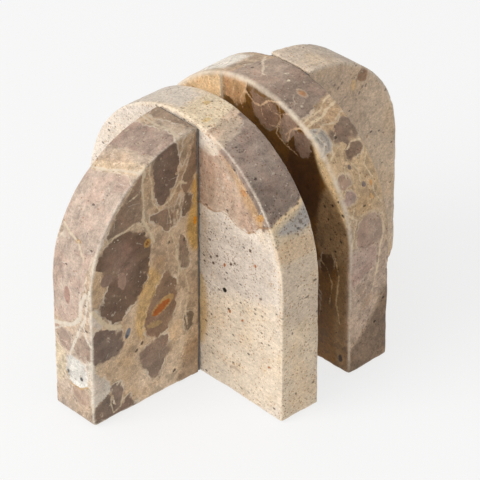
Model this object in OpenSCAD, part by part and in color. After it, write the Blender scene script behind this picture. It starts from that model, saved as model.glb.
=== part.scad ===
// Pair of stone arch bookends, standing back to back.
// Each bookend is an upright arch slab with a quarter-arch buttress fin bonded square to the
// middle of its outer face by a thin seam of grey stone adhesive, and four felt pads below.
// +Z is up. The shelf is z = 0. The origin is the middle of the left bookend's arch footprint.
// The left bookend's fin points to -Y, the right one's to +Y, and the books stand between.

/* [Left bookend] */
// height of the arch slab, without the pads
left_h = 160; // [130:0.1:190]
// width of the arch slab, twice the radius of its round top
left_w = 156.8; // [120:0.1:180]
// thickness of the arch slab
left_t = 27.4; // [18:0.1:36]
// height of the fin where it meets the slab
left_fin_h = 158.2; // [120:0.1:188]
// how far the fin stands out from the slab's outer face
left_fin_reach = 77.8; // [50:0.1:110]
// thickness of the fin
left_fin_t = 31.6; // [18:0.1:40]
// how far the fin sits to the +X side of the slab's middle
left_fin_x = -2.4; // [-8:0.1:8]
// radius of the fin's lower outer corner
left_foot_r = 2; // [1:0.1:15]

/* [Right bookend] */
// height of the arch slab, without the pads
right_h = 154.8; // [130:0.1:190]
// width of the arch slab, twice the radius of its round top
right_w = 155.4; // [120:0.1:180]
// thickness of the arch slab
right_t = 30.2; // [18:0.1:36]
// height of the fin where it meets the slab
right_fin_h = 154; // [120:0.1:188]
// how far the fin stands out from the slab's outer face
right_fin_reach = 72.3; // [50:0.1:110]
// thickness of the fin
right_fin_t = 29.9; // [18:0.1:40]
// how far the fin sits to the +X side of the slab's middle, seen before the bookend is placed
right_fin_x = 0.8; // [-8:0.1:8]
// radius of the fin's lower outer corner
right_foot_r = 9; // [1:0.1:15]

/* [Placing of the right bookend] */
// X of the middle of its arch footprint
right_x = -7.2; // [-20:0.1:20]
// Y of the middle of its arch footprint
right_y = 56.4; // [45:0.1:120]
// how far it is turned from square, in degrees
right_turn = 1.85; // [-5:0.05:5]

/* [Edges, adhesive and pads] */
// chamfer worn on every long stone edge
edge_c = 1.2; // [0.4:0.1:3]
// chamfer along the bottom edges of the stone
base_c = 0.8; // [0.2:0.1:2]
// thickness of the adhesive seam
seam_t = 1.2; // [0.5:0.1:2]
// how far the seam stays back from the fin's edges
seam_inset = 0.3; // [0.1:0.1:2]
// radius of a felt pad
pad_r = 9; // [5:0.5:12]
// thickness of a felt pad
pad_t = 1; // [0.5:0.1:3]
// distance from a pad's centre to the nearest end of the stone
pad_in = 14; // [11:0.5:25]

/* [Hidden] */

// Both bookends are drawn the same way round: slab centred on the origin, fin towards -Y.
module place_left() {
  children();
}

module place_right() {
  translate([right_x, right_y, 0]) rotate([0, 0, 180 + right_turn]) children();
}

// A square bar turned on edge: taking it from a solid leaves a flat chamfer of width c
// along the line that runs through the origin in X.
module chamfer_bar(len, c) {
  rotate([45, 0, 0]) cube([len, c * sqrt(2), c * sqrt(2)], center = true);
}

// Upright slab with a semicircular top. Its rim is chamfered on both faces, and its base on all
// four sides.
module arch_body(h, w, t) {
  r = w / 2;
  spring = h - r;
  difference() {
    union() {
      linear_extrude(height = spring)
        polygon([
          [-r + edge_c, -t / 2], [r - edge_c, -t / 2], [r, -t / 2 + edge_c], [r, t / 2 - edge_c],
          [r - edge_c, t / 2], [-r + edge_c, t / 2], [-r, t / 2 - edge_c], [-r, -t / 2 + edge_c]
        ]);
      translate([0, t / 2, spring]) rotate([90, 0, 0])
        rotate_extrude(angle = 180, $fn = 180)
          polygon([[0, 0], [r - edge_c, 0], [r, edge_c], [r, t - edge_c], [r - edge_c, t], [0, t]]);
    }
    for (side = [-1, 1]) {
      translate([0, side * t / 2, 0]) chamfer_bar(w + 2, base_c);
      translate([side * r, 0, 0]) rotate([0, 0, 90]) chamfer_bar(t + 2, base_c);
    }
  }
}

// Quarter-arch fin. Its root is the flat face at y = -root, its outer edge is upright up to the
// start of a quarter circle, and that circle carries the top back to the root.
module fin_body(h, reach, t, root, foot_r) {
  r = reach - seam_t;
  spring = h - r;
  tip = -root - r;
  difference() {
    union() {
      linear_extrude(height = spring)
        polygon([
          [-t / 2, -root], [-t / 2, tip + edge_c], [-t / 2 + edge_c, tip],
          [t / 2 - edge_c, tip], [t / 2, tip + edge_c], [t / 2, -root]
        ]);
      translate([t / 2, -root, spring]) rotate([90, 0, -90])
        rotate_extrude(angle = 90, $fn = 180)
          polygon([[0, 0], [r - edge_c, 0], [r, edge_c], [r, t - edge_c], [r - edge_c, t], [0, t]]);
    }
    // rounded lower outer corner
    difference() {
      translate([-t, tip - 1, -1]) cube([2 * t, foot_r + 1, foot_r + 1]);
      translate([-t - 1, tip + foot_r, foot_r]) rotate([0, 90, 0])
        cylinder(r = foot_r, h = 2 * t + 2, $fn = 72);
    }
    for (side = [-1, 1])
      translate([side * t / 2, -root - r / 2, 0]) rotate([0, 0, 90]) chamfer_bar(r + 20, base_c);
  }
}

// Flat layer of set adhesive that fills the joint between a slab's outer face and a fin's root.
module seam_body(fin_h, fin_t, root) {
  translate([-fin_t / 2 + seam_inset, -root, base_c + seam_inset])
    cube([fin_t - 2 * seam_inset, seam_t, fin_h - base_c - 2 * seam_inset - edge_c]);
}

// Round felt pad standing on the shelf, its top against the stone.
module pad_body(x, y) {
  translate([x, y, 0]) cylinder(r = pad_r, h = pad_t, $fn = 72);
}

module left_arch_slab() {
  color([0.72, 0.64, 0.55]) place_left() translate([0, 0, pad_t]) arch_body(left_h, left_w, left_t);
}

module left_buttress_fin() {
  color([0.62, 0.54, 0.46]) place_left() translate([left_fin_x, 0, pad_t])
    fin_body(left_fin_h, left_fin_reach, left_fin_t, left_t / 2 + seam_t, left_foot_r);
}

module left_glue_seam() {
  color([0.3, 0.31, 0.32]) place_left() translate([left_fin_x, 0, pad_t])
    seam_body(left_fin_h, left_fin_t, left_t / 2 + seam_t);
}

module left_pad_middle() {
  color([0.2, 0.19, 0.18]) place_left() pad_body(0, 0);
}

module left_pad_end_x_minus() {
  color([0.2, 0.19, 0.18]) place_left() pad_body(-left_w / 2 + pad_in, 0);
}

module left_pad_end_x_plus() {
  color([0.2, 0.19, 0.18]) place_left() pad_body(left_w / 2 - pad_in, 0);
}

module left_pad_fin() {
  color([0.2, 0.19, 0.18]) place_left() pad_body(left_fin_x, -left_t / 2 - left_fin_reach + pad_in);
}

module right_arch_slab() {
  color([0.6, 0.52, 0.44]) place_right() translate([0, 0, pad_t])
    arch_body(right_h, right_w, right_t);
}

module right_buttress_fin() {
  color([0.66, 0.58, 0.5]) place_right() translate([right_fin_x, 0, pad_t])
    fin_body(right_fin_h, right_fin_reach, right_fin_t, right_t / 2 + seam_t, right_foot_r);
}

module right_glue_seam() {
  color([0.3, 0.31, 0.32]) place_right() translate([right_fin_x, 0, pad_t])
    seam_body(right_fin_h, right_fin_t, right_t / 2 + seam_t);
}

module right_pad_middle() {
  color([0.2, 0.19, 0.18]) place_right() pad_body(0, 0);
}

module right_pad_end_x_minus() {
  color([0.2, 0.19, 0.18]) place_right() pad_body(right_w / 2 - pad_in, 0);
}

module right_pad_end_x_plus() {
  color([0.2, 0.19, 0.18]) place_right() pad_body(-right_w / 2 + pad_in, 0);
}

module right_pad_fin() {
  color([0.2, 0.19, 0.18]) place_right()
    pad_body(right_fin_x, -right_t / 2 - right_fin_reach + pad_in);
}

left_arch_slab();
left_buttress_fin();
left_glue_seam();
left_pad_middle();
left_pad_end_x_minus();
left_pad_end_x_plus();
left_pad_fin();
right_arch_slab();
right_buttress_fin();
right_glue_seam();
right_pad_middle();
right_pad_end_x_minus();
right_pad_end_x_plus();
right_pad_fin();
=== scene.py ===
"""Looks for the pair of stone arch bookends. Lengths are in millimetres until a mesh is stored."""
import math

import bpy
import numpy as np
from mathutils import Matrix, Vector


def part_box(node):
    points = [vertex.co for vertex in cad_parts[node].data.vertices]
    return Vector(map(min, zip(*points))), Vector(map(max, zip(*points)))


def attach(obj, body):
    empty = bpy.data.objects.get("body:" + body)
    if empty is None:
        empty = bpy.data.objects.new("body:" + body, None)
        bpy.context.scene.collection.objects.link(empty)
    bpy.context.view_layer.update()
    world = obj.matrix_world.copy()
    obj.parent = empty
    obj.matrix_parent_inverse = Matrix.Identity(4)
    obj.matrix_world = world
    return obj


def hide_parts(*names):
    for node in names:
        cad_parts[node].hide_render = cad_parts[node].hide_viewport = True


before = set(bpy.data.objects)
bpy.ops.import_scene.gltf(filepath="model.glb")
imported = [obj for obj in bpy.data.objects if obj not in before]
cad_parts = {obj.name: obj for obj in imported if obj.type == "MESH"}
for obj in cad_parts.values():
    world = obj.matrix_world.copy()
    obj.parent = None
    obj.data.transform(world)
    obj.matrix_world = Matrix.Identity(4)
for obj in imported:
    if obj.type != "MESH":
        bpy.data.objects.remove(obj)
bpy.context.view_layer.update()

MM = 0.001

# ---------------- places, read from the frame

RIGHT_TURN = math.radians(1.85)
pad_low, pad_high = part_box("right_pad_middle")
right_at = Vector(((pad_low[0] + pad_high[0]) / 2, (pad_low[1] + pad_high[1]) / 2, 0))
# Each bookend has its own space: the arch footprint's middle is the origin, +Z is up.
PLACE = {
    "left": Matrix.Identity(4),
    "right": Matrix.Translation(right_at) @ Matrix.Rotation(RIGHT_TURN, 4, "Z"),
}
FIN_SIDE = {"left": -1, "right": 1}
FOOT_ROUND = {"left": 3.0, "right": 9.0}


def own_box(side, piece):
    """Lowest and highest corner of a bookend's CAD node in its own space, in millimetres."""
    back = PLACE[side].inverted()
    points = np.array([back @ v.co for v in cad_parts[f"{side}_{piece}"].data.vertices]) / MM
    return points.min(axis=0), points.max(axis=0)


# ---------------- mesh helpers

SETTLE_STEPS = 3
SLOPE_STEP = 0.04


def waves(seed, length, count=14):
    """A smooth random field: its value runs about -1 to 1 and changes over the given length."""
    rng = np.random.default_rng(seed)
    turn = rng.normal(size=(count, 3))
    turn *= 2 * math.pi / (length * np.linalg.norm(turn, axis=1, keepdims=True))
    turn *= rng.uniform(0.7, 1.4, size=(count, 1))
    start = rng.uniform(0, 2 * math.pi, size=count)
    return lambda p: np.sin(p @ turn.T + start).sum(axis=1) / math.sqrt(count)


def rounded(distances, radius):
    """Signed distance to the space inside every plane or curve, its edges rounded."""
    q = np.stack(distances) + radius
    return np.linalg.norm(np.maximum(q, 0), axis=0) + np.minimum(q.max(axis=0), 0) - radius


def settle(points, field):
    """Moves points onto the surface where field is zero, and gives the outward normals there."""
    for _ in range(SETTLE_STEPS):
        value = field(points)
        slope = [field(points + SLOPE_STEP * axis) - value for axis in np.eye(3)]
        slope = np.stack(slope, axis=1) / SLOPE_STEP
        size = np.linalg.norm(slope, axis=1, keepdims=True) + 1e-9
        slope /= size
        points = points - slope * (value[:, None] / size)
    return points, slope


def dents(points, normals, centres, radii, depths):
    """Presses small bowls into the surface."""
    sunk = np.zeros(len(points))
    for centre, radius, depth in zip(centres, radii, depths):
        near = 1 - ((points - centre) ** 2).sum(axis=1) / radius ** 2
        sunk = np.maximum(sunk, depth * np.clip(near, 0, 1) ** 1.5)
    return points - normals * sunk[:, None]


def add_object(name, data):
    added = bpy.data.objects.new(name, data)
    bpy.context.scene.collection.objects.link(added)
    return added


def block_points(name, outline, across, low, high, voxel):
    """A closed prism over an outline, cut into even cells of about voxel across, and its points.

    across(a, b, level) places the outline's point (a, b) at a level between low and high.
    """
    mesh = bpy.data.meshes.new(name)
    count = len(outline)
    ends = [across(a, b, level) for level in (low, high) for a, b in outline]
    faces = [tuple(range(count))[::-1], tuple(range(count, 2 * count))]
    faces += [(i, (i + 1) % count, (i + 1) % count + count, i + count) for i in range(count)]
    mesh.from_pydata(ends, [], faces)
    raw = add_object(name + "_raw", mesh)
    cells = raw.modifiers.new("cells", "REMESH")
    cells.mode = "VOXEL"
    cells.voxel_size = voxel
    graph = bpy.context.evaluated_depsgraph_get()
    even = bpy.data.meshes.new_from_object(raw.evaluated_get(graph))
    bpy.data.objects.remove(raw)
    bpy.data.meshes.remove(mesh)
    even.name = name
    flat = np.empty(len(even.vertices) * 3)
    even.vertices.foreach_get("co", flat)
    return even, flat.reshape(-1, 3)


def finish_piece(name, mesh, points, side, stands_for, material, marks=()):
    """Stores the points, in metres, and hands the piece to its bookend."""
    mesh.vertices.foreach_set("co", (points * MM).ravel())
    for mark, values in marks:
        if values.ndim == 1:
            mesh.attributes.new(mark, "FLOAT", "POINT").data.foreach_set("value", values)
        else:
            colours = np.column_stack([values, np.ones(len(values))])
            stored = mesh.attributes.new(mark, "FLOAT_COLOR", "POINT")
            stored.data.foreach_set("color", colours.ravel())
    mesh.polygons.foreach_set("use_smooth", [True] * len(mesh.polygons))
    mesh.materials.append(material)
    mesh.update()
    piece = add_object(name, mesh)
    piece.matrix_world = PLACE[side]
    bpy.context.view_layer.update()
    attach(piece, f"{side}_bookend")
    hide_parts(stands_for)


# ---------------- stone pieces

VOXEL = 0.9
ARC_STEPS = 96
SKIN = 0.2  # how far the waved skin lies inside the CAD faces, on average
BULGE = 0.14
RIPPLE = 0.03
EDGE_BAND = 3.0
CHIPS = 22
PITS = 26


def edge_mark(distances, width):
    """1 on an edge, falling to 0 at the given distance from it."""
    second = np.sort(np.stack(distances), axis=0)[-2]
    return np.clip(1 + second / width, 0, 1)


def edge_wear_and_highlight(distances, wear):
    """How pale an edge is painted, partly for polish rubbed off by wear and partly as a painted
    highlight: more, and wider, where the edge is rounded wider by wear.
    """
    return edge_mark(distances, 0.8 + 1.4 * wear) * np.clip(0.2 + 0.4 * wear, 0, 1)


def stone_piece(side, piece, outline, across, planes, wear, seed, pattern, material):
    """One worked stone. planes(points) gives the signed distance to each of its faces."""
    bulge = waves(seed, 70)
    ripple = waves(seed + 1, 16)
    wobble = waves(seed + 2, 18)
    nibble = waves(seed + 3, 5)

    def edge_radius(p):
        uneven = 1 + 0.3 * wobble(p) + 0.12 * nibble(p)
        return wear(p) * np.clip(uneven, 0.5, 1.8)

    def field(p):
        skin = BULGE * bulge(p) + RIPPLE * ripple(p)
        return rounded([face + SKIN + skin for face in planes(p)], edge_radius(p))

    mesh, points = block_points(piece, outline, *across, VOXEL)
    points, normals = settle(points, field)
    rng = np.random.default_rng(seed + 4)
    edge = edge_mark(planes(points), EDGE_BAND)
    # pale edge band, stored as 'edge': partly wear, partly a painted highlight on the rounded edges
    wear_and_highlight = edge_wear_and_highlight(planes(points), wear(points))
    # small chips along the edges, and open pores in the faces
    on_edge = rng.choice(np.flatnonzero(edge > 0.75), CHIPS, replace=False)
    points = dents(points, normals, points[on_edge] + normals[on_edge] * 0.4,
                   rng.uniform(1.0, 2.2, CHIPS), rng.uniform(0.15, 0.4, CHIPS))
    pits = rng.choice(np.flatnonzero(edge < 0.1), PITS, replace=False)
    points = dents(points, normals, points[pits],
                   rng.uniform(0.9, 1.5, PITS), rng.uniform(0.3, 0.7, PITS))
    marks = [("edge", wear_and_highlight)] + pattern(points).marks()
    name = f"{side}_{piece}"
    finish_piece(f"{name}_stone", mesh, points, side, name, material, marks)


def arch_shape(side):
    """Half width, middle, height of the spring line, half thickness and foot of an arch slab."""
    low, high = own_box(side, "arch_slab")
    radius = (high[0] - low[0]) / 2
    return radius, (high[0] + low[0]) / 2, high[2] - radius, (high[1] - low[1]) / 2, low[2]


def fin_shape(side):
    """Reach, root Y, middle X, half thickness, height of the spring line and foot of a fin."""
    low, high = own_box(side, "buttress_fin")
    reach = high[1] - low[1]
    root = high[1] if FIN_SIDE[side] < 0 else low[1]
    half = (high[0] - low[0]) / 2
    return reach, root, (high[0] + low[0]) / 2, half, high[2] - reach, low[2]


def arch_slab(side, seed, wear, pattern, material):
    """Upright slab with a semicircular top."""
    low, high = own_box(side, "arch_slab")
    radius, middle, spring, half, foot = arch_shape(side)
    arc = [math.pi * i / ARC_STEPS for i in range(ARC_STEPS + 1)]
    outline = [(middle + radius * math.cos(a), spring + radius * math.sin(a)) for a in arc]
    outline += [(low[0], foot), (high[0], foot)]

    def planes(p):
        x, y, z = p.T
        round_top = np.hypot(x - middle, z - spring) - radius
        rim = np.where(z > spring, round_top, np.abs(x - middle) - radius)
        return [y - half, -half - y, rim, foot - z]

    across = (lambda a, b, level: (a, level, b), half, -half)
    stone_piece(side, "arch_slab", outline, across, planes, wear, seed, pattern, material)


def buttress_fin(side, seed, wear, pattern, material):
    """Quarter-arch slab that stands square to the arch slab."""
    out = FIN_SIDE[side]
    radius, root, middle, half, spring, foot = fin_shape(side)
    arc = [math.pi / 2 * i / ARC_STEPS for i in range(ARC_STEPS + 1)]
    outline = [(root + out * radius * math.cos(a), spring + radius * math.sin(a)) for a in arc]
    outline += [(root, foot), (root + out * radius, foot)]

    def planes(p):
        x, y, z = p.T
        reach = out * (y - root)
        rim = np.where(z > spring, np.hypot(reach, z - spring) - radius, reach - radius)
        profile = rounded([rim, foot - z], FOOT_ROUND[side])
        return [x - middle - half, middle - half - x, profile, -reach]

    def wear_of_fin(p):
        return np.where(np.abs(p[:, 1] - root) < 5, 0.4, wear(p))

    across = (lambda a, b, level: (level, a, b), middle - half, middle + half)
    stone_piece(side, "buttress_fin", outline, across, planes, wear_of_fin, seed, pattern,
                material)


# ---------------- how the stone's markings are stored
#
# The fragments, veins and stains of each face are drawn as outlines in that face's own
# millimetres and stored on the mesh as distances, so that the node materials can give them
# natural, uneven edges. Every other mark comes from the node materials alone.

FAR_OFF = -30.0
MARK_DEPTH = 1.6
DARKEST = 0.004
BRIGHTEST = 0.86
SHEEN = 0.012  # what the surface's own shine adds to its colour


def tone(r, g, b, light=1.0):
    """Linear colour of stone that looks like this sRGB value in the given strength of light."""
    seen = np.array([r, g, b]) / 255
    linear = np.where(seen <= 0.04045, seen / 12.92, ((seen + 0.055) / 1.055) ** 2.4)
    return np.clip(linear / light - SHEEN, DARKEST, BRIGHTEST)


def nearest(u, v, sides):
    """Distance to the nearest of some straight sides, each given by its two ends."""
    near = np.full(len(u), 1e9)
    for (ax, ay), (bx, by) in sides:
        dx, dy = bx - ax, by - ay
        t = np.clip(((u - ax) * dx + (v - ay) * dy) / (dx * dx + dy * dy), 0, 1)
        near = np.minimum(near, np.hypot(u - ax - t * dx, v - ay - t * dy))
    return near


def inside(u, v, outline):
    """Distance to an outline with its corners cut: above 0 inside, below 0 outside."""
    ring = np.array(outline, float)
    after = np.roll(ring, -1, axis=0)
    ring = np.stack([0.75 * ring + 0.25 * after, 0.25 * ring + 0.75 * after], 1).reshape(-1, 2)
    sides = list(zip(ring, np.roll(ring, -1, axis=0)))
    within = np.zeros(len(u), bool)
    for (ax, ay), (bx, by) in sides:
        if ay != by:
            within ^= ((ay > v) != (by > v)) & (u < (bx - ax) * (v - ay) / (by - ay) + ax)
    near = nearest(u, v, sides)
    return np.where(within, near, -near)


def oval(u, v, ru, rv, turn=0):
    """Outline of an oval with the given middle and half sizes, turned by degrees."""
    c, s = math.cos(math.radians(turn)), math.sin(math.radians(turn))
    angles = [math.pi * i / 6 for i in range(12)]
    spokes = [(ru * math.cos(a), rv * math.sin(a)) for a in angles]
    return [(u + c * a - s * b, v + s * a + c * b) for a, b in spokes]


class Pattern:
    """Markings of one stone, point by point."""

    def __init__(self, points, base, pores=0.3):
        self.points = points
        self.ground = np.tile(base, (len(points), 1))
        self.reach = {kind: np.full(len(points), FAR_OFF) for kind in ("clast", "spot", "vein")}
        self.tones = {kind: np.tile(base, (len(points), 1)) for kind in self.reach}
        self.pores = np.full(len(points), pores)

    def put(self, kind, distance, colour):
        """Adds a mark. Where two overlap, the deeper one shows, and of spots the later one."""
        nearer = (distance > self.reach[kind]) | ((distance > 0) & (kind == "spot"))
        self.reach[kind] = np.maximum(distance, self.reach[kind])
        self.tones[kind][nearer] = colour

    def fragments(self, room, seed, count, sizes, colours):
        """Broken pieces of stone all through the block, wherever room is above zero."""
        rng = np.random.default_rng(seed)
        low, high = self.points.min(axis=0), self.points.max(axis=0)
        placed = []
        for _ in range(count * 12):
            middle = rng.uniform(low, high)
            size = sizes[0] + (sizes[1] - sizes[0]) * rng.uniform() ** 2.2
            if all(np.linalg.norm(middle - m) > 0.85 * (size + s) for m, s in placed):
                placed.append((middle, size))
            if len(placed) == count:
                break
        for middle, size in placed:
            facing = rng.normal(size=(12, 3))
            facing /= np.linalg.norm(facing, axis=1, keepdims=True)
            away = size * rng.uniform(0.6, 1.1, 12)
            sides = away - (self.points - middle) @ facing.T
            rounded_off = -np.log(np.exp(np.clip(-sides, -40, 40)).sum(axis=1))
            self.put("clast", np.minimum(rounded_off, room),
                     tone(*colours[rng.integers(len(colours))]))

    def marks(self):
        found = list(self.reach.items())
        found += [(kind + "_tone", values) for kind, values in self.tones.items()]
        return found + [("ground", self.ground), ("pores", self.pores)]


class Face:
    """A face of a stone: positions u, v on it and the depth below it, for every mesh point."""

    def __init__(self, made, u, v, depth, light):
        self.made, self.u, self.v, self.depth, self.light = made, u, v, depth, light

    def wide(self, colour, outline=None, soft=3.0, amount=1.0, on_clasts=False):
        """Tints the ground over a region with a soft border."""
        made = self.made
        flat = 30.0 if outline is None else inside(self.u, self.v, outline)
        share = np.clip(0.5 + np.minimum(flat, 1.5 - self.depth) / soft, 0, 1)
        share = (amount * share * share * (3 - 2 * share))[:, None]
        wanted = tone(*colour, self.light)
        made.ground = made.ground * (1 - share) + wanted * share
        if on_clasts:
            made.tones["clast"] = made.tones["clast"] * (1 - share) + wanted * share

    def put(self, kind, colour, distance, depth=MARK_DEPTH):
        self.made.put(kind, np.minimum(distance, depth - self.depth), tone(*colour, self.light))

    def clast(self, colour, outline, depth=MARK_DEPTH):
        self.put("clast", colour, inside(self.u, self.v, outline), depth)

    def spot(self, colour, u, v, ru, rv, turn=0, depth=MARK_DEPTH):
        self.put("spot", colour, inside(self.u, self.v, oval(u, v, ru, rv, turn)), depth)

    def veins(self, colour, *lines):
        """Each line starts with its width; the points that it runs through follow."""
        for width, *path in lines:
            sides = zip(path, path[1:])
            self.put("vein", colour, width / 2 - nearest(self.u, self.v, sides))

    def porous(self, amount, outline):
        flat = np.minimum(inside(self.u, self.v, outline), 2 - self.depth)
        share = np.clip(0.5 + flat / 8, 0, 1)
        self.made.pores = self.made.pores * (1 - share) + amount * share


def up_and_over(out, z, radius, spring, foot):
    """The way up a curved outer face from its foot, and the depth below that face."""
    angle = np.arctan2(np.maximum(z - spring, 0), out)
    way = np.where(z > spring, spring - foot + radius * angle, z - foot)
    return way, radius - np.where(z > spring, np.hypot(out, z - spring), np.abs(out))


def slab_faces(side, made, lights):
    """The -Y face, +Y face and rim of an arch slab. On the rim, u runs up from its +X foot."""
    x, y, z = made.points.T
    radius, middle, spring, half, foot = arch_shape(side)
    way, depth = up_and_over(x - middle, z, radius, spring, foot)
    way_down = spring - foot + radius * math.pi + spring - z
    way = np.where((z <= spring) & (x < middle), way_down, way)
    return (Face(made, x, z - foot, half + y, lights[0]),
            Face(made, x, z - foot, half - y, lights[1]), Face(made, way, y, depth, lights[2]))


def fin_faces(side, made, lights):
    """The +X face and the outer face of a fin. On the outer face, u runs up from its foot."""
    x, y, z = made.points.T
    radius, root, middle, half, spring, foot = fin_shape(side)
    way, depth = up_and_over(np.abs(y - root), z, radius, spring, foot)
    return (Face(made, y, z - foot, middle + half - x, lights[0]),
            Face(made, way, x, depth, lights[1]))


# ---------------- materials

PALE_LEFT = (0.74, 0.66, 0.54, 1)
PALE_RIGHT = (0.66, 0.56, 0.44, 1)
OCHRE = (0.95, 0.76, 0.48, 1)


class Nodes:
    """Adds nodes to a node tree and joins them up."""

    def __init__(self, tree):
        self.tree = tree

    def add(self, kind):
        return self.tree.nodes.new(kind)

    def feed(self, socket, value):
        if hasattr(value, "is_linked"):
            self.tree.links.new(value, socket)
        else:
            socket.default_value = value

    def math(self, operation, a, b=0.0):
        node = self.add("ShaderNodeMath")
        node.operation = operation
        self.feed(node.inputs[0], a)
        self.feed(node.inputs[1], b)
        return node.outputs[0]

    def vector(self, operation, *given):
        node = self.add("ShaderNodeVectorMath")
        node.operation = operation
        for socket, value in zip(node.inputs, given):
            self.feed(socket, value)
        return node.outputs[0]


class Look(Nodes):
    """A node material. Sizes are in millimetres in the piece's own space."""

    def __init__(self, name, seed):
        self.material = bpy.data.materials.new(name)
        self.material.use_nodes = True
        super().__init__(self.material.node_tree)
        self.shader = self.tree.nodes["Principled BSDF"].inputs
        where = self.add("ShaderNodeTexCoord").outputs["Object"]
        per_mm = (1 / MM, 1 / MM, 1 / MM)
        shift = (37.0 * seed, 11.0 * seed, 23.0 * seed)
        self.at = self.vector("MULTIPLY_ADD", where, per_mm, shift)

    def step(self, value, low, high, to_low=0.0, to_high=1.0):
        """Runs smoothly from to_low to to_high as value goes from low to high."""
        node = self.add("ShaderNodeMapRange")
        node.interpolation_type = "SMOOTHSTEP"
        for name, given in (("Value", value), ("From Min", low), ("From Max", high),
                            ("To Min", to_low), ("To Max", to_high)):
            self.feed(node.inputs[name], given)
        return node.outputs["Result"]

    def moved(self, by, amount):
        """The position pushed about by a noise colour."""
        return self.vector("MULTIPLY_ADD", by, (amount, amount, amount), self.at)

    def noise(self, size, detail=3.0, at=None, stretch=None, output="Fac", rough=0.55):
        if stretch:
            at = self.vector("MULTIPLY", at or self.at, stretch)
        node = self.add("ShaderNodeTexNoise")
        self.feed(node.inputs["Vector"], at or self.at)
        node.inputs["Scale"].default_value = 1 / size
        node.inputs["Detail"].default_value = detail
        node.inputs["Roughness"].default_value = rough
        return node.outputs[output]

    def cells(self, size, at=None, feature="F1", output="Distance"):
        node = self.add("ShaderNodeTexVoronoi")
        node.feature = feature
        self.feed(node.inputs["Vector"], at or self.at)
        node.inputs["Scale"].default_value = 1 / size
        return node.outputs[output]

    def draws(self, size, at=None):
        """Two random numbers for each cell."""
        node = self.add("ShaderNodeSeparateColor")
        self.feed(node.inputs[0], self.cells(size, at, output="Color"))
        return node.outputs[0], node.outputs[1]

    def mark(self, name, output="Fac"):
        """A mark that is stored on the mesh."""
        node = self.add("ShaderNodeAttribute")
        node.attribute_name = name
        return node.outputs[output]

    def mix(self, share, a, b, blend="MIX"):
        node = self.add("ShaderNodeMix")
        node.data_type = "RGBA"
        node.blend_type = blend
        self.feed(node.inputs[0], share)
        self.feed(node.inputs[6], a)
        self.feed(node.inputs[7], b)
        return node.outputs[2]

    def shade(self, colour, factor):
        node = self.add("ShaderNodeVectorMath")
        node.operation = "SCALE"
        self.feed(node.inputs[0], colour)
        self.feed(node.inputs["Scale"], factor)
        return node.outputs[0]

    def bump(self, height, strength, distance):
        node = self.add("ShaderNodeBump")
        node.inputs["Strength"].default_value = strength
        node.inputs["Distance"].default_value = distance * MM
        self.feed(node.inputs["Height"], height)
        self.feed(self.shader["Normal"], node.outputs["Normal"])


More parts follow.
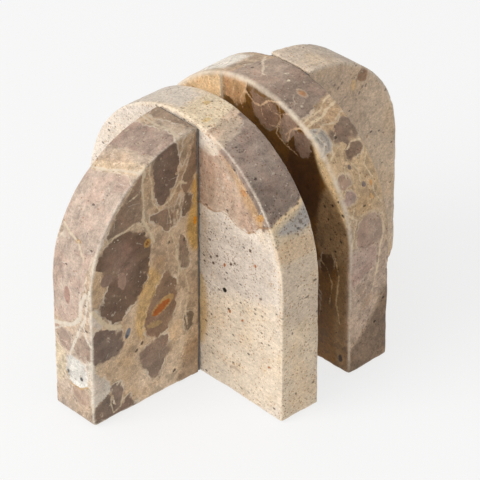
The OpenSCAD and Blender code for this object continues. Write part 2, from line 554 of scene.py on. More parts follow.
def stone_look(name, seed, breccia, grit, stained, bedding, pale):
    """Honed stone: fragments in a veined ground, with stains, specks, pores and pale edges, partly wear
    and partly a painted highlight.

    breccia is the strength of the small fragments and lines in the ground, grit that of the dark
    specks, stained that of the ochre clouds, and bedding squeezes the grain into level layers.
    """
    look = Look(name, seed)
    add, mul, sub, math_ = "ADD", "MULTIPLY", "SUBTRACT", look.math

    def centred(value, amount):
        return math_(mul, math_(sub, value, 0.5), amount)

    def total(*values):
        out = values[0]
        for value in values[1:]:
            out = math_(add, out, value)
        return out

    layers = (1.0, 1.0, bedding)
    cloud = look.noise(13, 3)
    patch = look.noise(24, 4)
    wander = look.noise(6, 3, output="Color")
    swirl = look.noise(5, 4)
    fine = look.noise(2.0, 4, rough=0.7, stretch=layers)
    grain = look.noise(0.8, 2, rough=0.75, stretch=layers)
    moved = look.moved(wander, 3.4)
    clast_mark = look.mark("clast")

    # the ground: small fragments, cloudy tints and fine grain
    plain = look.mark("ground", "Color")
    ground = plain
    for size, share in ((8, 0.7), (3.6, 0.55)):
        chance, other_chance = look.draws(size, moved)
        body = look.step(look.cells(size, moved, feature="DISTANCE_TO_EDGE"), 0.02, 0.12)
        body = math_(mul, body, share * breccia)
        dark = math_(mul, look.step(chance, 0.6, 0.7), body)
        light = math_(mul, look.step(other_chance, 0.64, 0.74), body)
        ground = look.mix(dark, ground, look.shade(plain, 0.64))
        ground = look.mix(light, ground, look.shade(plain, 1.22))
    stain = look.step(patch, 0.5, 0.68)
    ground = look.mix(math_(mul, stain, stained), ground,
                      look.mix(1.0, ground, OCHRE, "MULTIPLY"))
    # lines that run around the fragments, as the ground settled
    flow = total(math_(mul, clast_mark, 0.36), centred(swirl, 3.2), centred(cloud, 1.5))
    wave = math_("PINGPONG", flow, 0.5)
    lines = math_(mul, look.step(wave, 0.0, 0.12, 1.0, 0.0), look.step(look.noise(7, 2), 0.4, 0.56))
    ground = look.mix(math_(mul, lines, 0.8 * breccia), ground, look.shade(plain, 1.4))
    lines = math_(mul, look.step(wave, 0.38, 0.5), look.step(look.noise(8, 3), 0.42, 0.58))
    ground = look.mix(math_(mul, lines, 0.6 * breccia), ground, look.shade(plain, 0.62))
    mottle = total(centred(fine, 1.1), centred(cloud, 0.45), centred(grain, 0.95), 1.0)
    ground = look.shade(ground, mottle)

    # the fragments, cloudy inside, with a pale line along parts of their border
    soft = look.step(look.noise(9, 2), 0.38, 0.66, 0.25, 2.6)
    chips = look.cells(3.6, moved)
    tilt = total(centred(swirl, 4.4), centred(fine, 2.8), centred(chips, 2.2))
    clast_at = math_(add, clast_mark, tilt)
    clast = look.mark("clast_tone", "Color")
    streak = look.noise(5, 5, at=moved, stretch=(1.0, 0.55, 0.8), rough=0.62)
    ruddy = look.mix(1.0, clast, (1.03, 0.97, 0.96, 1), "MULTIPLY")
    clast = look.mix(look.step(cloud, 0.45, 0.6), clast, ruddy)
    inner = total(centred(streak, 1.5), centred(patch, 0.6), centred(grain, 1.0),
                  centred(fine, 0.8), 1.0)
    clast = look.shade(clast, inner)
    crack = look.step(look.cells(16, moved, feature="DISTANCE_TO_EDGE"), 0.0, 0.018, 1.0, 0.0)
    crack = math_(mul, crack, look.step(look.noise(11, 2), 0.54, 0.64))
    clast = look.mix(math_(mul, crack, 0.4), clast, pale)
    shell = look.step(look.cells(3.0, moved), 0.08, 0.2, 0.55, 0.0)
    clast = look.mix(math_(mul, shell, look.step(look.noise(8, 2), 0.47, 0.6)), clast, pale)
    side = math_("DIVIDE", clast_at, soft)
    colour = look.mix(look.step(side, -0.6, 0.6), ground, clast)
    rim = math_(mul, look.step(clast_at, -1.6, -0.6), look.step(clast_at, -0.2, 0.5, 1.0, 0.0))
    rim = math_(mul, rim, look.step(look.noise(10, 2), 0.42, 0.62))
    colour = look.mix(math_(mul, rim, 0.42 * breccia), colour, pale)

    # small marks and veins
    spot_at = math_(add, look.mark("spot"), centred(fine, 2.0))
    spot = look.shade(look.mark("spot_tone", "Color"), total(centred(fine, 1.3), 1.0))
    colour = look.mix(look.step(spot_at, -0.3, 0.4), colour, spot)
    vein_at = total(look.mark("vein"), centred(swirl, 1.6), centred(fine, 1.5))
    vein = look.shade(look.mark("vein_tone", "Color"), total(centred(fine, 0.6), 1.0))
    colour = look.mix(look.step(vein_at, -0.4, 0.4, 0.0, 0.9), colour, vein)

    # specks and open pores
    chance, redness = look.draws(1.7)
    crowd = math_(mul, look.mark("pores"), look.step(look.noise(8, 3), 0.36, 0.62, 0.3, 1.7))
    rare = math_(sub, 1.0, math_(mul, crowd, grit))
    speck = math_(mul, look.step(look.cells(1.7), 0.12, 0.42, 1.0, 0.0),
                  look.step(chance, rare, math_(add, rare, 0.03)))
    tint = look.mix(look.step(redness, 0.45, 0.55), (0.42, 0.36, 0.32, 1),
                    (0.62, 0.4, 0.24, 1))
    colour = look.mix(math_(mul, speck, 0.85), colour, look.mix(1.0, colour, tint, "MULTIPLY"))
    pore_place = look.vector("MULTIPLY", look.moved(wander, 1.2), (0.75, 0.75, 1.25))
    chance, largeness = look.draws(4.2, pore_place)
    size = look.step(largeness, 0.0, 1.0, 0.08, 0.24)
    rare = math_(sub, 1.0, math_(mul, crowd, 0.4))
    open_here = look.step(chance, rare, math_(add, rare, 0.05))
    pore = look.step(math_(sub, look.cells(4.2, pore_place), size), -0.05, 0.04, 1.0, 0.0)
    pore = math_(mul, pore, open_here)
    colour = look.mix(math_(mul, pore, 0.85), colour, look.shade(colour, 0.25))

    # edges painted pale: partly polish rubbed off by wear, partly a painted highlight where the rounded
    # edges catch the light
    on_edge = math_(mul, look.mark("edge"), total(centred(fine, 1.4), 1.0))
    on_edge = look.step(on_edge, 0.15, 0.85)
    kept = look.step(look.noise(12, 3), 0.36, 0.58, 0.45, 0.9)
    colour = look.mix(math_(mul, on_edge, kept), colour, pale)
    look.feed(look.shader["Base Color"], colour)

    rough = total(centred(cloud, 0.2), centred(grain, 0.2), 0.52, math_(mul, on_edge, 0.12),
                  math_(mul, pore, 0.3))
    look.feed(look.shader["Roughness"], rough)
    look.shader["Specular IOR Level"].default_value = 0.3
    height = math_(sub, math_(add, math_(mul, fine, 0.45), math_(mul, grain, 0.35)),
                   math_(add, pore, math_(mul, speck, 0.4)))
    look.bump(height, 0.5, 0.25)
    return look.material


def adhesive_look():
    """Dark grey stone adhesive, a little uneven and dusty."""
    look = Look("stone_adhesive", 7)
    dust = look.step(look.noise(2.5, 4), 0.4, 0.7)
    dark = look.mix(look.noise(0.9, 3), (0.07, 0.068, 0.068, 1), (0.16, 0.152, 0.146, 1))
    colour = look.mix(look.math("MULTIPLY", dust, 0.5), dark, (0.3, 0.27, 0.24, 1))
    look.feed(look.shader["Base Color"], colour)
    look.feed(look.shader["Roughness"], look.step(dust, 0.0, 1.0, 0.45, 0.8))
    look.bump(look.noise(0.8, 3), 0.5, 0.2)
    return look.material


def felt_look():
    """Pressed grey-brown wool felt, with matted fibres."""
    look = Look("felt", 9)
    fibres = look.noise(0.35, 3, stretch=(1.0, 0.3, 1.0))
    across = look.noise(0.35, 3, stretch=(0.3, 1.0, 1.0))
    matted = look.math("MAXIMUM", fibres, across)
    patch = look.noise(3.0, 3)
    dark = look.mix(patch, (0.05, 0.042, 0.036, 1), (0.1, 0.088, 0.075, 1))
    colour = look.mix(look.step(matted, 0.5, 0.75), dark, (0.2, 0.18, 0.155, 1))
    look.feed(look.shader["Base Color"], colour)
    look.shader["Roughness"].default_value = 0.95
    look.shader["Sheen Weight"].default_value = 0.3
    look.bump(matted, 0.8, 0.25)
    return look.material


# ---------------- markings of the four stones


def left_fin_pattern(points):
    made = Pattern(points, tone(180, 156, 128))
    face, outer = fin_faces("left", made, (0.81, 1.45))

    # side that looks along +X
    face.wide((176, 153, 127))
    face.wide((160, 135, 110), [(-50, 154), (-12, 156), (-12, 112), (-28, 104), (-50, 112)], 8)
    face.wide((158, 134, 110), [(-48, 98), (-42, 103), (-36, 100), (-31, 96), (-31, 84), (-36, 78),
        (-43, 82), (-48, 88)], 6)
    face.wide((164, 140, 115), [(-30, 70), (-22, 72), (-14, 60), (-14, 48), (-28, 44)], 7)
    face.wide((142, 118, 94), [(-32, 18), (-20, 24), (-10, 26), (-10, -2), (-30, -2)], 7)
    face.wide((178, 146, 98), [(-52, 86), (-44, 80), (-41, 75), (-50, 58), (-52, 50), (-56, 40),
        (-61, 50), (-59, 62), (-57, 70), (-54, 78)], 5)
    face.wide((182, 144, 84), [(-18, 134), (-13, 140), (-13, 82), (-19, 82), (-24, 96), (-20, 112)], 4)
    face.wide((196, 174, 148), [(-50, 36), (-34, 40), (-25, 66), (-24, 36), (-30, 0), (-60, 0),
        (-58, 16)], 8)
    face.wide((176, 152, 124), [(-90, 36), (-62, 38), (-60, 18), (-80, 22)], 8)
    face.clast((103, 82, 66), [(-79, 112), (-70, 114), (-62, 114), (-54, 109), (-49, 103), (-49, 90),
        (-50, 84), (-54, 75), (-58, 69), (-66, 66), (-71, 58), (-78, 63), (-86, 71), (-84, 76), (-80, 80),
        (-79, 90), (-84, 98), (-88, 100), (-85, 107)])
    face.wide((132, 106, 92), oval(-67, 94, 7, 15, 10), 9, 0.8, True)
    face.wide((88, 70, 57), oval(-60, 80, 6, 10, -20), 8, 0.7, True)
    face.wide((124, 102, 86), [(-81, 108), (-72, 110), (-70, 96), (-76, 84), (-83, 92)], 6, 0.6, True)
    face.wide((96, 78, 64), oval(-80, 72, 8, 7), 7, 0.6, True)
    face.clast((126, 105, 87), [(-81, 114), (-75, 124), (-68, 133), (-59, 142), (-52, 148), (-53, 138),
        (-54, 128), (-53, 116), (-60, 117), (-70, 116)])
    face.clast((104, 87, 75), [(-44, 156), (-32, 158), (-28, 148), (-28, 141), (-30, 133), (-33, 127),
        (-40, 119), (-45, 124), (-46, 138), (-47, 143)])
    face.clast((124, 103, 84), [(-17, 156), (-13, 156), (-13, 138), (-17, 131), (-21, 121), (-26, 121),
        (-26, 128), (-22, 138), (-19, 146)])
    face.clast((114, 94, 77), [(-24, 122), (-19, 117), (-20, 109), (-25, 106), (-27, 112)])
    face.clast((122, 101, 84), [(-50, 118), (-44, 116), (-35, 118), (-33, 112), (-32, 105), (-36, 102),
        (-41, 108), (-47, 112)])
    face.clast((148, 126, 104), [(-30, 118), (-27, 122), (-28, 108), (-31, 104), (-32, 111)])
    face.clast((158, 136, 112), [(-24, 156), (-19, 156), (-23, 142), (-27, 138), (-26, 148)])
    face.clast((126, 102, 82), [(-37, 79), (-34, 73), (-30, 66), (-31, 55), (-34, 46), (-39, 39),
        (-47, 38), (-53, 43), (-55, 50), (-52, 58), (-48, 65), (-42, 73)])
    face.clast((126, 106, 90), [(-59, 34), (-50, 36), (-38, 38), (-38, 31), (-35, 26), (-41, 19),
        (-46, 10), (-49, 12), (-54, 20), (-57, 26)])
    face.clast((108, 91, 79), [(-92, 59), (-85, 61), (-79, 58), (-70, 53), (-69, 45), (-70, 40),
        (-80, 40), (-92, 39)])
    face.clast((112, 94, 80), [(-92, 10), (-84, 16), (-79, 18), (-77, 8), (-71, 6), (-67, 11), (-63, 5),
        (-59, -2), (-92, -2)])
    face.clast((120, 102, 88), [(-80, 22), (-70, 20), (-70, 9), (-74, 4), (-77, 12)])
    face.clast((135, 116, 97), [(-29, 92), (-26, 97), (-23, 88), (-21, 78), (-24, 72), (-28, 77)])
    face.clast((112, 95, 78), [(-26, 43), (-20, 45), (-19, 37), (-23, 31), (-26, 35)])
    face.clast((176, 166, 152), [(-92, 70), (-86, 60), (-83, 67), (-88, 76)])
    face.clast((176, 166, 152), [(-92, 38), (-86, 31), (-78, 21), (-82, 15), (-92, 12)])
    face.spot((142, 116, 99), -69, 85, 3, 6, 8)
    face.spot((122, 100, 86), -80, 90, 4, 4)
    face.spot((160, 128, 85), -41, 57, 9, 4, 24)
    face.spot((148, 122, 86), -47, 47, 6, 2, -8)
    face.spot((150, 84, 38), -42, 56, 7, 2.6, 26, 1.0)
    face.spot((152, 118, 68), -51, 101, 2.6, 2.8)
    face.spot((110, 72, 34), -51, 101, 1.1, 1.3, depth=1.0)
    face.spot((106, 108, 114), -66, 50, 1.6, 3.6, -25)
    face.spot((74, 72, 74), -67, 48, 0.9, 1.8, -25, 1.0)
    face.spot((196, 128, 36), -17, 101, 1.4, 2.8)
    for y, z in ((-36, 95), (-25, 92), (-60, 36), (-56, 39), (-53, 108), (-33, 10)):
        face.spot((92, 76, 62), y, z, 1.0, 1.5, y * 7)
    pale = (190, 172, 144)
    face.veins(pale,
        (0.8, (-80, 112), (-74, 115), (-66, 115), (-59, 117), (-54, 113)),
        (1.6, (-52, 150), (-54, 138), (-53, 126), (-54, 117), (-49, 107), (-46, 100)),
        (1.0, (-47, 154), (-49, 144), (-47, 136), (-47, 125), (-42, 118), (-34, 122), (-28, 130),
            (-23, 127)),
        (2.6, (-90, 74), (-84, 66), (-78, 59), (-71, 57)),
        (0.8, (-65, 132), (-58, 134), (-54, 138)),
        (0.7, (-78, 19), (-79, 10), (-77, 3), (-72, 5), (-70, 12)),
        (0.7, (-34, 100), (-31, 90), (-29, 76), (-30, 66)),
        (0.6, (-33, 128), (-36, 117), (-34, 106), (-37, 94), (-36, 84)),
        (0.6, (-27, 120), (-30, 109), (-28, 97), (-31, 84), (-27, 72)),
        (0.8, (-25, 72), (-22, 58), (-25, 46), (-23, 34), (-29, 20)),
        (0.6, (-17, 48), (-22, 44), (-26, 46)))

    # outer face, from the foot up and over
    outer.wide((211, 189, 169))
    outer.wide((228, 208, 178), [(42, -19), (40, -10), (35, -7), (24, -10), (18, -12), (18, -19)], 4)
    # pale band along the +X edge near the foot: partly pale wear, partly a painted highlight of the
    # rounded edge
    outer.wide((236, 224, 208), [(12, 15), (48, 15), (40, 9), (22, 9)], 5)
    outer.wide((186, 166, 146), [(60, -19), (60, -3), (76, 3), (80, -19)], 8)
    outer.wide((204, 182, 160), [(164, -20), (168, 0), (172, 15), (215, 15), (215, -20)], 6)
    outer.clast((206, 184, 167), [(60, -21), (59, -8), (62, -2), (68, 3), (80, 4), (90, 8), (104, 9),
        (116, 16), (150, 16), (154, 6), (151, -6), (147, -21), (118, -21), (112, -10), (104, -21)])
    outer.clast((188, 164, 148), [(164, -21), (167, -8), (169, 0), (170, 8), (171, 16), (184, 16),
        (188, 8), (189, 2), (186, -6), (184, -12), (183, -21)])
    outer.clast((176, 152, 130), [(191, -21), (194, -8), (198, 2), (201, 16), (210, 16), (210, -21)])
    outer.clast((184, 160, 143), [(55, -17), (53, -8), (48, -3), (41, -3), (40, -9), (46, -16)])
    outer.clast((188, 163, 144), [(56, 3), (55, 9), (50, 13), (43, 14), (40, 10), (39, 3), (43, -1),
        (49, -1)])
    outer.clast((238, 232, 222), [(39, -7), (39, 2), (37, 8), (30, 10), (23, 8), (20, 2), (20, -5),
        (25, -9), (33, -9)])
    outer.clast((194, 168, 147), [(20, -4), (21, 8), (17, 12), (11, 9), (10, 3), (14, -5)])
    outer.spot((188, 152, 136), 77, -6, 6, 2.5)
    outer.spot((120, 114, 108), 27, -7, 1.4, 1.2)
    outer.spot((105, 100, 95), 27, 4, 1.5, 1.4)
    outer.spot((190, 150, 100), 111, -2, 1.2, 2.5)
    white = (238, 225, 206)
    outer.veins(white,
        (2.4, (54, -19), (57, -8), (60, -2), (66, 4), (76, 5), (84, 9)),
        (1.7, (39, -5), (47, -2), (53, 1), (60, 4), (68, 8)),
        (1.4, (50, 15), (55, 9), (62, 7), (72, 9), (88, 12)),
        (1.2, (60, -2), (55, -10), (50, -17)))
    outer.veins((226, 208, 182), (1.4, (118, -19), (113, -10), (111, -2), (103, 5)))
    outer.wide((228, 206, 180), [(166, 15), (164, 5), (159, -2), (156, -10), (154, -19), (148, -19),
        (150, -9), (153, 0), (156, 8), (158, 15)], 2.5, 0.9, True)
    outer.veins((238, 220, 196), (1.2, (160, 15), (158, 8), (155, 0), (151, -9), (149, -19)))
    outer.veins((210, 172, 118), (1.0, (24, 9), (20, 3), (20, -5), (26, -9)))
    outer.veins((225, 205, 178), (1.6, (190, -19), (189, -6), (191, 4), (188, 15)))

    # the stone behind the seen faces
    room = np.minimum(face.depth, outer.depth) - 4
    made.fragments(room, 5, 170, (3, 21), [(112, 94, 80), (134, 113, 95), (158, 136, 114),
                                           (106, 88, 75), (146, 124, 104), (168, 146, 122)])
    return made


def left_slab_pattern(points):
    made = Pattern(points, tone(205, 188, 162), 0.6)
    face, back, rim = slab_faces("left", made, (1.28, 1.0, 0.86))

    # side that looks along -Y: travertine below, a fragment of tan stone above
    face.wide((238, 224, 208))
    face.wide((212, 198, 184), [(12, 108), (70, 104), (70, 74), (52, 66), (12, 70)], 12)
    face.wide((236, 216, 188), [(20, 60), (78, 66), (78, 0), (12, 0), (12, 20)], 16)
    face.wide((208, 174, 122), [(10, 68), (17, 64), (19, 46), (17, 24), (10, 16)], 6)
    # painted shade: the face darker in a strip along the fin's root, standing in for the fin's shade
    face.wide((190, 170, 145), [(10, 110), (18, 110), (20, 70), (10, 66)], 8, 0.7)
    face.clast((206, 180, 158), [(8, 111), (24, 110), (30, 114), (36, 114), (42, 110), (51, 109),
        (56, 112), (60, 118), (72, 122), (66, 136), (52, 150), (40, 156), (31, 152), (27, 146), (20, 144),
        (8, 146)])
    face.wide((208, 164, 112), [(26, 154), (44, 152), (56, 142), (66, 130), (70, 120), (60, 116),
        (55, 122), (47, 128), (42, 138)], 7, 0.75, True)
    # painted shadow: the fragment darker next to the fin, where the fin shades it
    face.wide((178, 148, 124), [(10, 146), (22, 146), (26, 130), (22, 112), (10, 112)], 8, 0.8, True)
    face.spot((206, 154, 108), 48, 133, 2.4, 2.0)
    face.spot((208, 160, 104), 61, 123, 3.5, 2.0, 40)
    face.veins((172, 132, 96), (0.9, (10, 111), (24, 110), (30, 113), (36, 113), (42, 110), (51, 109),
        (56, 112), (60, 117), (70, 121)))
    face.spot((34, 28, 22), 33, 64, 1.7, 1.5, depth=1.0)
    for x, z in ((22, 80), (27, 83), (38, 83), (24, 77), (41, 85), (53, 99), (36, 53)):
        face.spot((110, 92, 78), x, z, 1.2, 0.9, x, 1.0)
    for x, z in ((37, 52), (47, 51), (68, 31), (57, 91), (33, 80)):
        face.spot((178, 112, 62), x, z, 1.3, 0.9, z, 1.0)
    face.veins((196, 176, 152),
        (0.8, (31, 48), (34, 49), (38, 47)),
        (0.8, (40, 43), (43, 44), (46, 45)))
    face.veins((200, 178, 158), (1.6, (38, 16), (41, 17), (45, 16)))
    face.porous(1.5, [(12, 108), (60, 100), (62, 60), (12, 50)])

    # rim, from its +X foot up and over
    rim.wide((205, 186, 161))
    rim.wide((190, 172, 151), [(58, -16), (60, 16), (97, 16), (99, -16)], 8)
    rim.wide((197, 172, 142), [(99, -16), (100, 16), (110, 16), (113, -16)], 3)
    rim.wide((206, 188, 160), [(186, -16), (192, 16), (212, 16), (210, -16)], 6)
    rim.wide((191, 182, 173), [(212, -16), (214, 16), (420, 16), (420, -16)], 10)
    rim.wide((190, 172, 146), [(110, -17), (112, 17), (134, 17), (122, -17)], 4)
    rim.wide((154, 149, 145), [(117, -11), (114, -2), (113, 8), (118, 17), (128, 17), (122, 6),
        (120, -4)], 4)
    rim.clast((131, 115, 104), [(120, -17), (124, -7), (126, 1), (127, 8), (131, 17), (190, 17),
        (185, 10), (178, 6), (176, 0), (174, -8), (172, -17)], 6)
    rim.clast((186, 166, 144), [(171, -17), (174, -8), (177, 2), (180, 8), (190, 17), (194, 17), (191, 4),
        (187, -6), (184, -17)])
    rim.wide((150, 134, 122), [(148, -17), (150, 17), (184, 17), (174, -17)], 16, 0.9, True)
    rim.veins((212, 186, 150), (1.6, (119, -15), (123, -7), (125, 1), (126, 8), (130, 15)))
    rim.spot((120, 110, 102), 118, 7, 1.4, 1.3)
    for s, y in ((115, -3), (121, 1), (112, 3), (117, 3), (119, 11), (122, 8), (204, 7), (61, 12),
                 (55, -6), (14, -3)):
        rim.spot((118, 104, 92), s, y, 0.9, 0.8, depth=1.0)
    rim.spot((192, 166, 124), 205, 4, 2.0, 2.4)
    rim.spot((196, 172, 130), 193, -7, 1.6, 3.0)
    rim.porous(2.4, [(113, -16), (108, 0), (112, 16), (130, 16), (122, -16)])
    rim.porous(1.3, [(180, -16), (186, 16), (212, 16), (210, -16)])

    # the stone behind the seen faces
    back.wide((188, 168, 146), [(-80, 0), (80, 0), (80, 100), (-80, 84)], 20)
    back.clast((136, 118, 106), [(72, 134), (64, 126), (54, 121), (40, 125), (26, 116), (12, 122),
        (4, 136), (8, 150), (16, 162), (60, 162)], 5)
    back.veins((205, 182, 150), (1.6, (70, 132), (63, 125), (54, 120), (40, 124), (26, 115), (12, 121),
        (3, 136), (7, 150), (14, 160)))
    room = np.minimum(face.depth, np.where(points[:, 0] > -58, rim.depth, 30.0)) - 6
    made.fragments(room, 8, 30, (3, 13), [(178, 158, 138), (190, 170, 146), (214, 198, 176)])
    return made


def right_slab_pattern(points):
    made = Pattern(points, tone(158, 132, 104))
    face, _, rim = slab_faces("right", made, (0.6, 1.0, 0.73))

    # side that looks along -Y, towards the books: golden brown, paler near the top
    face.wide((92, 62, 22))
    face.wide((124, 100, 76), [(-80, -2), (-80, 122), (16, 124), (34, 90), (42, -2)], 14)
    face.wide((186, 160, 126), [(-80, 100), (-60, 160), (-22, 160), (-22, 128)], 6)
    face.wide((60, 38, 14), [(34, 138), (50, 136), (54, 114), (51, 84), (28, 110)], 8)
    face.wide((128, 104, 76), [(50, 66), (53, 104), (60, 116), (78, 106), (78, 68)], 5)
    face.wide((96, 68, 34), [(50, 66), (66, 70), (66, -2), (50, -2)], 5)
    face.wide((108, 84, 56), [(66, 72), (80, 72), (80, -2), (66, -2)], 5)
    # painted highlight: a pale band along the edge towards the rim, where the rounded edge catches the
    # light
    face.wide((192, 166, 128), [(46, 141), (56, 138), (67, 122), (74, 106), (77, 92), (72, 96), (64, 110),
        (55, 118), (50, 130)], 4)
    face.clast((150, 118, 84), [(-20, 158), (-2, 156), (-4, 148), (-3, 139), (-12, 136), (-20, 140)])
    face.clast((122, 98, 81), [(1, 153), (6, 147), (14, 150), (22, 150), (22, 134), (10, 131), (1, 137)])
    face.clast((130, 108, 93), [(24, 148), (36, 146), (33, 132), (24, 128)])
    face.clast((112, 92, 78), [(34, 140), (46, 138), (48, 130), (42, 124), (33, 130)])
    face.clast((74, 52, 28), [(56, 70), (63, 74), (66, 64), (60, 58), (54, 60)])
    face.clast((84, 62, 38), [(48, 56), (54, 50), (54, 28), (48, 22), (40, 34), (40, 52)])
    face.spot((50, 36, 22), 71, 8, 1.6, 2.6)
    for x, z in ((53, 78), (56, 86), (58, 74), (60, 94), (62, 82), (64, 89), (66, 76), (68, 95),
                 (70, 84), (72, 73), (57, 101), (63, 104), (67, 108), (73, 90), (60, 69), (71, 101)):
        size = 0.5 + 0.7 * math.sin(x * z) ** 2
        face.spot((56, 42, 28), x, z, size, 0.8 * size, x * z, 1.0)
    cream = (180, 152, 122)
    face.veins(cream,
        (1.1, (-2, 157), (-4, 148), (3, 143), (8, 143), (14, 149), (22, 151)),
        (0.9, (-4, 148), (-8, 141), (-6, 136)),
        (0.9, (22, 151), (23, 140), (20, 131), (27, 127), (34, 125)))
    face.veins((140, 128, 114), (1.2, (-22, 158), (-23, 148), (-22, 136)))
    face.veins(cream,
        (1.0, (29, 130), (31, 138), (38, 142), (47, 139), (53, 131)),
        (0.5, (-14, 156), (-12, 149), (-14, 141), (-10, 136)),
        (0.5, (8, 143), (10, 137), (16, 134), (23, 136)),
        (0.6, (12, 148), (17, 143), (23, 144), (29, 147)),
        (0.5, (31, 138), (27, 133), (30, 127), (37, 124)))
    face.veins((160, 134, 98), (0.9, (66, 72), (69, 60), (67, 44), (70, 30)))
    face.veins((150, 126, 92), (0.8, (54, 66), (60, 62), (64, 54), (62, 40)))
    face.porous(2.4, [(48, 66), (52, 110), (70, 110), (78, 66)])

    # rim, from its +X foot up and over
    rim.wide((160, 138, 114))
    rim.wide((82, 60, 43), [(-3, -18), (-3, 18), (50, 18), (36, 6), (22, -4), (12, -18)], 9)
    rim.wide((160, 138, 121), [(16, -18), (30, 0), (46, 8), (58, 18), (84, 18), (84, -18)], 8)
    rim.wide((170, 145, 114), [(99, -18), (99, 18), (140, 18), (140, -18)], 5)
    rim.wide((214, 203, 193), [(226, -18), (224, 18), (420, 18), (420, -18)], 8)
    rim.clast((151, 129, 115), [(55, -19), (60, -3), (64, 3), (72, 5), (78, 4), (79, -8), (80, -19)])
    rim.clast((142, 121, 105), [(79, -7), (78, 3), (81, 9), (87, 11), (93, 9), (98, 4), (97, -4),
        (91, -9), (84, -10)])
    rim.clast((144, 124, 112), [(106, -12), (108, -5), (113, -5), (115, -10), (111, -14)])
    rim.clast((146, 125, 107), [(116, -13), (118, -4), (124, -5), (124, -13)])
    rim.clast((119, 99, 83), [(129, -2), (134, -1), (138, 6), (137, 12), (132, 12), (129, 6)])
    rim.clast((114, 96, 82), [(141, -5), (148, -3), (150, 6), (153, 14), (140, 15), (137, 6), (140, 0)])
    rim.clast((150, 143, 132), [(137, -17), (152, -17), (154, -8), (146, -4), (139, -6)])
    rim.clast((130, 113, 100), [(160, -19), (162, -8), (164, 0), (167, 8), (168, 19), (208, 19),
        (209, 12), (213, 8), (214, 3), (215, -4), (221, -19)])
    rim.wide((164, 146, 131), [(186, -19), (192, 19), (222, 19), (224, -19)], 12, 0.6, True)
    sand = (188, 168, 140)
    rim.veins(sand,
        (1.1, (48, 2), (58, 5), (66, 7), (75, 8), (82, 10), (94, 11)),
        (1.6, (154, -17), (157, -8), (157, 0), (160, 6), (162, 17)),
        (1.0, (158, -17), (160, -8), (161, 2), (165, 8), (167, 17)))
    rim.veins((176, 158, 134), (1.0, (150, -10), (153, -3), (151, 4), (155, 12), (154, 17)))
    rim.veins((186, 170, 150), (1.4, (202, -3), (206, 2), (211, 6), (214, 11)))
    rim.veins(sand,
        (0.9, (135, 2), (138, 7), (137, 13)),
        (0.9, (121, -7), (127, -5), (130, -1)))
    rim.veins((178, 168, 152), (0.8, (138, -15), (143, -9), (149, -11), (153, -15)))
    rim.veins((122, 112, 106), (0.8, (139, -9), (144, -6), (149, -7), (152, -11)))
    rim.veins(sand,
        (0.7, (96, -14), (104, -8), (110, -2), (116, 1), (122, 3), (128, 0)),
        (0.7, (100, 12), (108, 8), (116, 10), (124, 8), (130, 14)),
        (0.7, (84, -14), (90, -12), (97, -8), (103, -14)),
        (0.6, (60, 14), (66, 12), (74, 14), (80, 12)),
        (0.6, (132, -14), (136, -8), (141, -5), (146, 1)))
    rim.veins((176, 156, 128), (0.8, (98, -6), (99, 2), (97, 8), (91, 12), (84, 11)))
    rim.spot((112, 98, 92), 114, 3, 1.7, 1.5)
    rim.spot((176, 128, 76), 113, 8, 2.0, 0.9)
    rim.spot((180, 142, 96), 106, 6, 2.2, 1.0)
    rim.spot((112, 98, 90), 126, -2, 1.6, 1.4)
    rim.spot((152, 132, 114), 175, 1, 4.2, 2.8)
    rim.spot((150, 112, 82), 175, 1, 2.6, 1.6, depth=1.0)
    for s, y in ((181, 8), (187, 2), (192, 6), (205, 3), (200, -4), (168, -6), (212, 9), (217, -2)):
        rim.spot((184, 170, 150), s, y, 1.2, 0.8, s * 9)

    unseen = inside(face.u, face.v, [(-90, -4), (-90, 104), (-60, 120), (-28, 127), (6, 121),
                                     (22, 106), (34, 86), (42, 58), (44, -4)])
    room = np.minimum(np.maximum(face.depth - 4, unseen),
                      np.where(points[:, 0] > -58, rim.depth, 30.0) - 4)
    made.fragments(room, 12, 170, (3, 20), [(126, 106, 90), (114, 95, 80), (146, 124, 104),
                                            (178, 158, 132), (138, 117, 99)])
    return made


def right_fin_pattern(points):
    made = Pattern(points, tone(186, 164, 140), 0.7)
    face, outer = fin_faces("right", made, (0.73, 1.0))
    face.wide((178, 157, 134))
    face.wide((169, 147, 125), [(20, 0), (30, 150), (60, 140), (52, 0)], 20)
    outer.wide((212, 194, 174))
    face.clast((130, 104, 80), [(53, 137), (60, 140), (63, 134), (59, 129), (54, 132)])
    face.spot((184, 154, 114), 51, 131, 2.0, 4.0)
    for y, z in ((39, 134), (42, 136), (36, 137), (58, 127), (56, 124), (61, 127)):
        face.spot((122, 106, 92), y, z, 1.3, 0.9, y)
    face.veins((188, 168, 142), (0.8, (70, 96), (74, 84), (76, 70), (80, 60)))
    over = np.where(points[:, 2] > 100, outer.depth, 40.0)
    room = np.minimum(face.depth, over) - 6
    made.fragments(room, 17, 90, (3, 15), [(158, 136, 114), (146, 124, 104), (172, 150, 126),
                                           (196, 178, 154)])
    return made


# ---------------- the stones


def evenly(value):
    return lambda p: np.full(len(p), value)


def wear_and_highlight_front(p):
    """The right slab's edge towards the books is rounded wide by wear, above all at the top, and painted
    pale to match, partly as wear and partly as a painted highlight.
    """
    return np.where(p[:, 1] < 0, 1.3 + 1.2 * np.clip((p[:, 2] - 70) / 40, 0, 1), 1.1)


def wear_and_highlight_outer(p):
    """The left fin's outer edge on the +X side is rounded wide by wear, less so at the top; its pale
    band, partly wear and partly a painted highlight, follows that width.
    """
    return np.where((p[:, 0] > 0) & (p[:, 1] < -30), 1.0 + 0.5 * (p[:, 2] < 118), 1.0)


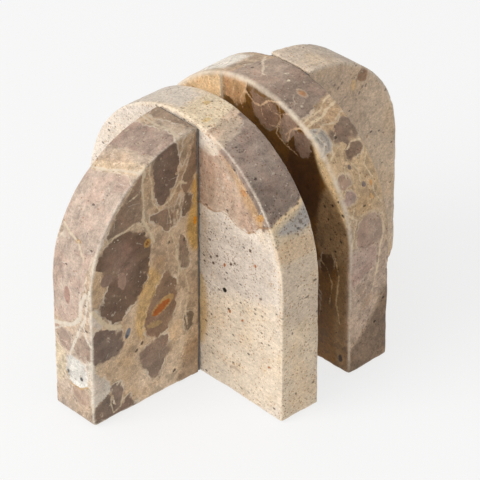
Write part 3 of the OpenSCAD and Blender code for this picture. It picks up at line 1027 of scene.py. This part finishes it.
arch_slab("left", 11, evenly(1.1), left_slab_pattern,
          stone_look("left_travertine", 1, 0.2, 0.7, 0.25, 1.6, PALE_LEFT))
buttress_fin("left", 23, wear_and_highlight_outer, left_fin_pattern,
             stone_look("left_breccia", 2, 1.0, 0.35, 0.4, 1.0, PALE_LEFT))
arch_slab("right", 37, wear_and_highlight_front, right_slab_pattern,
          stone_look("right_breccia", 3, 0.9, 0.5, 0.4, 1.0, PALE_RIGHT))
buttress_fin("right", 41, evenly(1.1), right_fin_pattern,
             stone_look("right_limestone", 4, 0.5, 0.6, 0.25, 1.2, PALE_RIGHT))

# ---------------- adhesive and felt

BEAD_VOXEL = 0.55
BEAD_ROUND = 0.3
FELT_VOXEL = 0.4
FELT_ROUND = 0.35


def glue_bead(side, seed, material):
    """The adhesive squeezed out between slab and fin, uneven along its visible edge."""
    low, high = own_box(side, "glue_seam")
    outline = [(low[0], low[2]), (high[0], low[2]), (high[0], high[2]), (low[0], high[2])]
    mesh, points = block_points("bead", outline, lambda a, b, level: (a, level, b),
                                high[1], low[1], BEAD_VOXEL)
    uneven = waves(seed, 7)
    lumps = waves(seed + 1, 2.4)

    def field(p):
        x, y, z = p.T
        squeezed = 0.22 * uneven(p) + 0.1 * lumps(p) - 0.1
        sides = [x - high[0] - squeezed, low[0] - x - squeezed, z - high[2] - squeezed]
        return rounded(sides + [y - high[1], low[1] - y, low[2] - z], BEAD_ROUND)

    points, _ = settle(points, field)
    finish_piece(f"{side}_glue_bead", mesh, points, side, f"{side}_glue_seam", material)


def felt_disc(side, pad, seed, material):
    """A stuck-on felt disc with a soft, fuzzy edge."""
    low, high = own_box(side, pad)
    middle = (low + high) / 2
    radius, thick = (high[0] - low[0]) / 2, (high[2] - low[2]) / 2
    turns = [2 * math.pi * i / 64 for i in range(64)]
    outline = [(middle[0] + radius * math.cos(a), middle[1] + radius * math.sin(a)) for a in turns]
    mesh, points = block_points("disc", outline, lambda a, b, level: (a, b, level),
                                low[2], high[2], FELT_VOXEL)
    fuzz = waves(seed, 1.1)
    loose = waves(seed + 1, 9)

    def field(p):
        x, y, z = p.T
        rim = np.hypot(x - middle[0], y - middle[1]) - radius + 0.12 * loose(p) + 0.06 * fuzz(p)
        flat = np.abs(z - middle[2]) - thick + 0.03 * fuzz(p) ** 2
        return rounded([rim, flat], FELT_ROUND)

    points, _ = settle(points, field)
    finish_piece(f"{side}_{pad}_felt", mesh, points, side, f"{side}_{pad}", material)


adhesive, felt = adhesive_look(), felt_look()
for side, seed in (("left", 61), ("right", 71)):
    glue_bead(side, seed, adhesive)
    for i, pad in enumerate(("pad_middle", "pad_end_x_minus", "pad_end_x_plus", "pad_fin")):
        felt_disc(side, pad, seed + 2 + i, felt)

# ---------------- floor, light and camera

FLOOR_REACH = 6.0
FLOOR_GREY = 0.16
FLOOR_GLOW = 0.76
ALL_ROUND = 0.34
FROM_FRONT = 1.1
FROM_ABOVE = 0.7
KEY_AZIMUTH = -12
KEY_ELEVATION = 38
KEY_DISTANCE = 2.2
KEY_AIM = Vector((0, 0.03, 0.07))
CAMERA_AZIMUTH = 47.49
CAMERA_ELEVATION = 33.29
CAMERA_DISTANCE = 2.05
CAMERA_AIM = Vector((0.003, 0.025, 0.0655))


def towards(azimuth, elevation):
    """Unit vector from the bookends to a light or the camera. Azimuth 0 is -Y, 90 is +X."""
    a, e = math.radians(azimuth), math.radians(elevation)
    return Vector((math.sin(a) * math.cos(e), -math.cos(a) * math.cos(e), math.sin(e)))


corners = [(-1, -1), (1, -1), (1, 1), (-1, 1)]
mesh = bpy.data.meshes.new("floor")
mesh.from_pydata([(x * FLOOR_REACH, y * FLOOR_REACH, 0) for x, y in corners], [], [(0, 1, 2, 3)])
add_object("floor", mesh)
material = bpy.data.materials.new("floor_paper")
material.use_nodes = True
shader = material.node_tree.nodes["Principled BSDF"].inputs
shader["Base Color"].default_value = (FLOOR_GREY, FLOOR_GREY, FLOOR_GREY, 1)
shader["Emission Color"].default_value = (1.0, 1.0, 1.0, 1)
shader["Emission Strength"].default_value = FLOOR_GLOW
shader["Roughness"].default_value = 0.9
shader["Specular IOR Level"].default_value = 0.1
mesh.materials.append(material)

# a soft dome of light: some from all round, most from the front (-Y), some from above
world = bpy.data.worlds.new("studio")
bpy.context.scene.world = world
world.use_nodes = True
dome = Nodes(world.node_tree)
axes = dome.add("ShaderNodeSeparateXYZ")
dome.feed(axes.inputs[0], dome.add("ShaderNodeTexCoord").outputs["Generated"])
ahead = dome.math("MAXIMUM", dome.math("MULTIPLY", axes.outputs["Y"], -1.0), 0.0)
above = dome.math("MAXIMUM", axes.outputs["Z"], 0.0)
front = dome.math("MULTIPLY", dome.math("POWER", ahead, 2.0), FROM_FRONT)
top = dome.math("MULTIPLY", dome.math("POWER", above, 4.0), FROM_ABOVE)
background = world.node_tree.nodes["Background"].inputs
background["Color"].default_value = (1.0, 1.0, 1.0, 1)
dome.feed(background["Strength"], dome.math("ADD", dome.math("ADD", front, top), ALL_ROUND))

key = bpy.data.lights.new("key", "AREA")
key.size = 1.2
key.energy = 30
key.color = (1.0, 0.985, 0.96)
light = add_object("key", key)
back = towards(KEY_AZIMUTH, KEY_ELEVATION)
light.location = KEY_AIM + back * KEY_DISTANCE
light.rotation_euler = back.to_track_quat("Z", "Y").to_euler()

camera_data = bpy.data.cameras.new("camera")
camera_data.sensor_width = 36
camera_data.lens = 280
camera = add_object("camera", camera_data)
camera.location = CAMERA_AIM + towards(CAMERA_AZIMUTH, CAMERA_ELEVATION) * CAMERA_DISTANCE
camera.rotation_euler = (math.radians(90 - CAMERA_ELEVATION), 0, math.radians(CAMERA_AZIMUTH))
bpy.context.scene.camera = camera
bpy.context.scene.view_settings.view_transform = "Standard"
